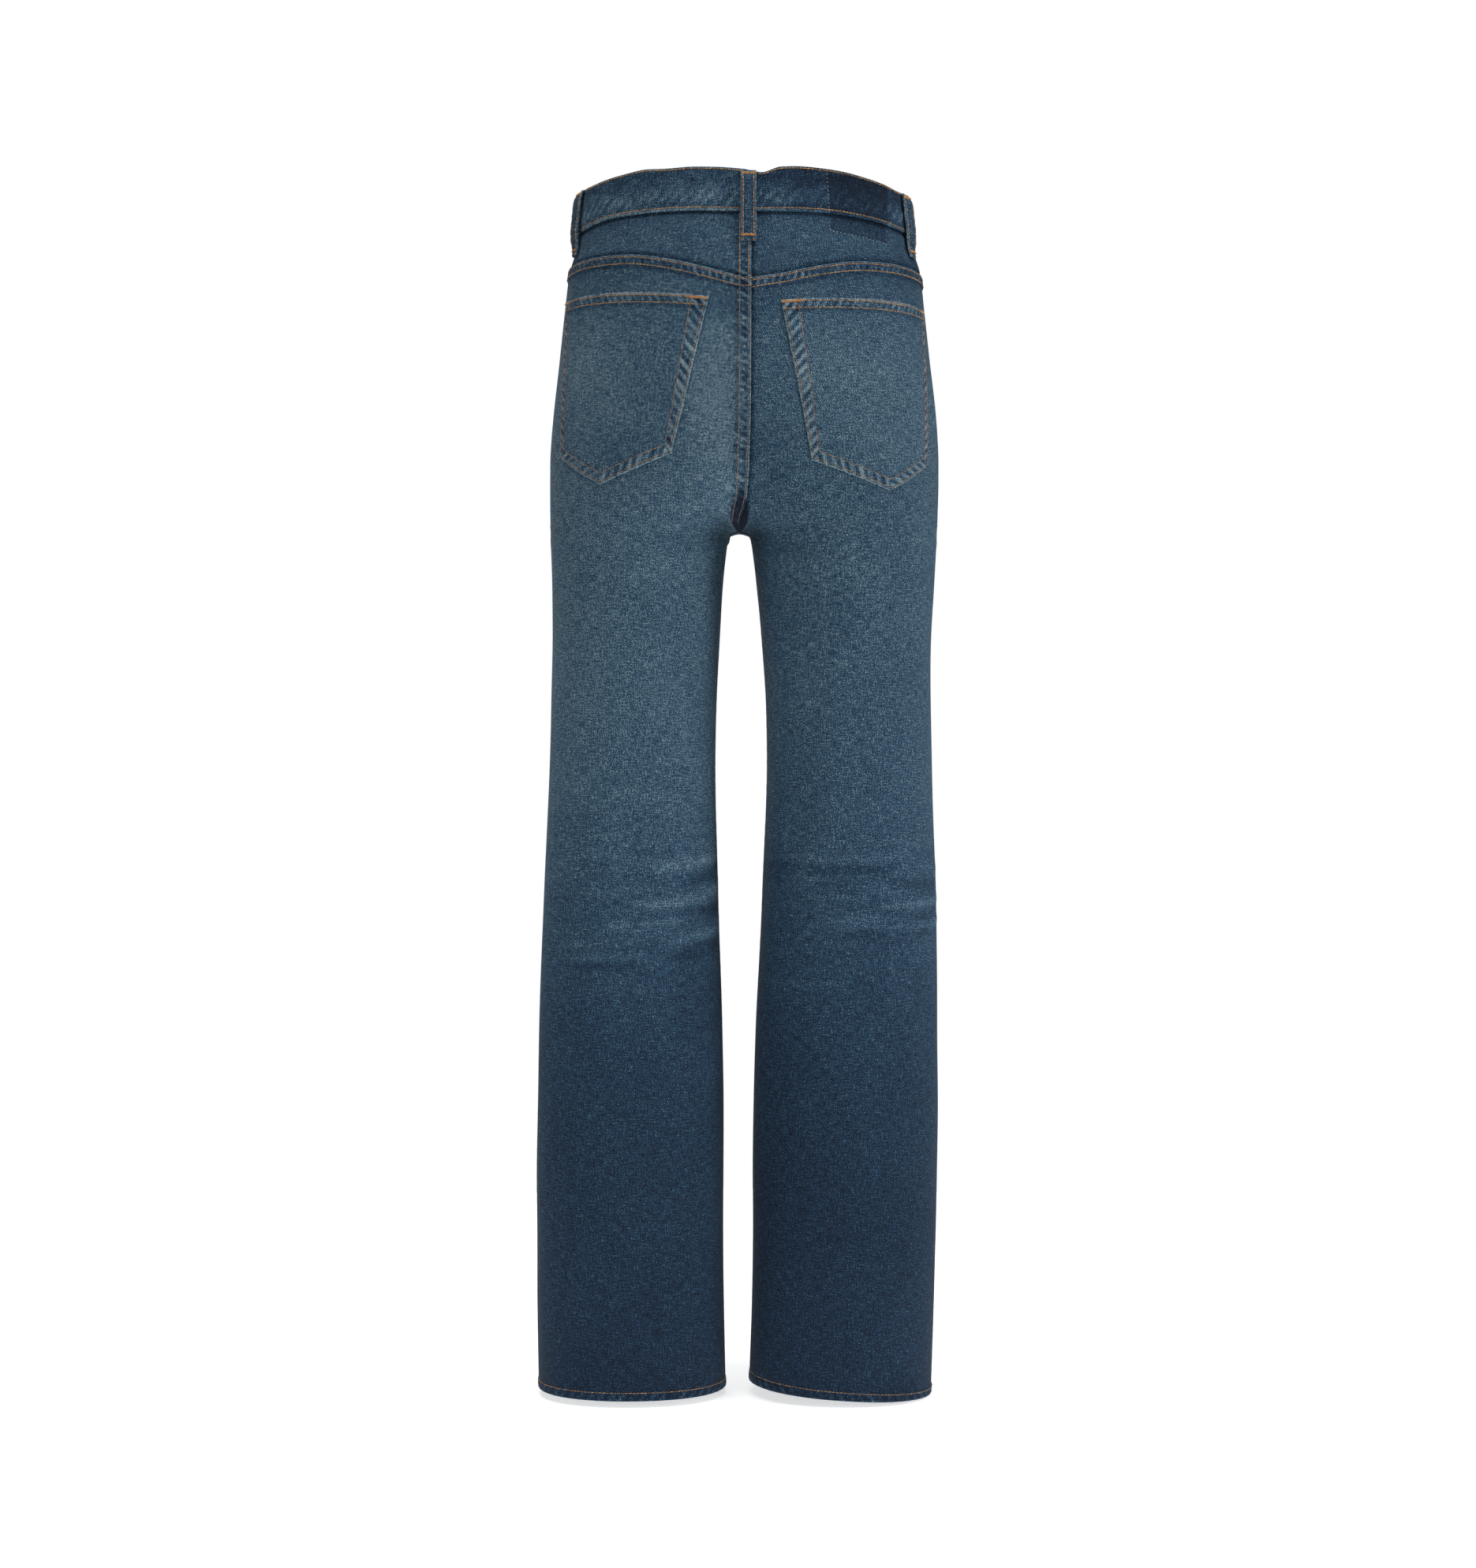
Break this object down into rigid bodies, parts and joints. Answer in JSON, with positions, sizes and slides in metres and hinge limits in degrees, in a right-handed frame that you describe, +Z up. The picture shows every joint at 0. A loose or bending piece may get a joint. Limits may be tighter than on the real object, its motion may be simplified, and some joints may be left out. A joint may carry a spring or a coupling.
{
  "type": "jeans, filled out as worn",
  "caption": "Straight-leg denim jeans with a high waist, filled out as worn, with the waist and hems open and empty.",
  "frame": {"origin": "middle of the waist opening, level with the waistband's top edge at the sides", "axes": "+Z up, -Y to the front of the garment, +X to the wearer's left"},
  "size_m": [0.3438, 0.2277, 1.0344],
  "materials": {
    "denim": "matte, stone-washed indigo twill",
    "denim_dark": "matte, less worn indigo twill",
    "thread": "satin, tan topstitching thread",
    "brass": "aged, satin"
  },
  "bodies": {
    "root": {"back_left": "denim", "back_right": "denim", "front_left": "denim", "front_right": "denim", "yoke_left": "denim", "yoke_right": "denim", "waistband": "denim", "back_pocket_left": "denim", "back_pocket_right": "denim", "pocket_facing_left": "denim_dark", "pocket_facing_right": "denim_dark", "loop_back": "denim", "loop_side_left": "denim", "loop_side_right": "denim", "loop_front_left": "denim", "loop_front_right": "denim", "waist_button": "brass"}
  },
  "joints": []
}
